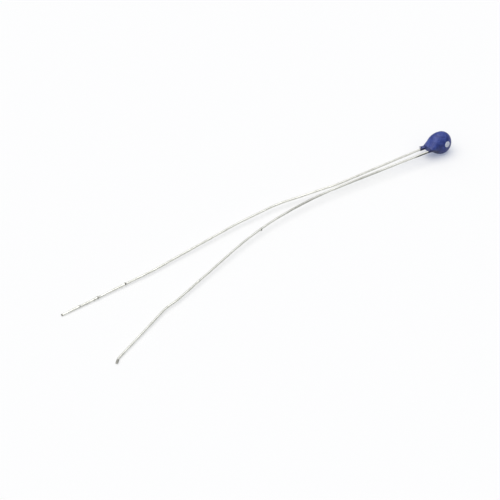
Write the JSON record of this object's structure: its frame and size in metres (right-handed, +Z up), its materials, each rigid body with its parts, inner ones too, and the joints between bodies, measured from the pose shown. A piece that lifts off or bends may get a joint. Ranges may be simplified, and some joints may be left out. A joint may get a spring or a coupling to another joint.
{
  "type": "ptc thermistor",
  "caption": "Leaded thermistor: a round lacquer-dipped bead over a ceramic disc, narrowing to a neck, with long bare tinned wire leads that it lies on.",
  "frame": {"origin": "middle of the ceramic disc inside the bead", "axes": "+X from the leads towards the bead's nose, +Z up as the part lies at rest, -Y the side nearest the viewer, on which the near lead swings away"},
  "size_m": [0.0765, 0.0183, 0.004],
  "materials": {
    "lacquer": "satin dipped lacquer",
    "ceramic": "fired, unglazed",
    "silver": "fired silver",
    "solder": "dull solder",
    "tinned_wire": "tinned, slightly dulled"
  },
  "bodies": {
    "root": {"coating": "lacquer", "ceramic_disc": "ceramic", "electrode_near": "silver", "electrode_far": "silver", "solder_near": "solder", "solder_far": "solder", "lead_near": "tinned_wire", "lead_far": "tinned_wire"}
  },
  "joints": []
}
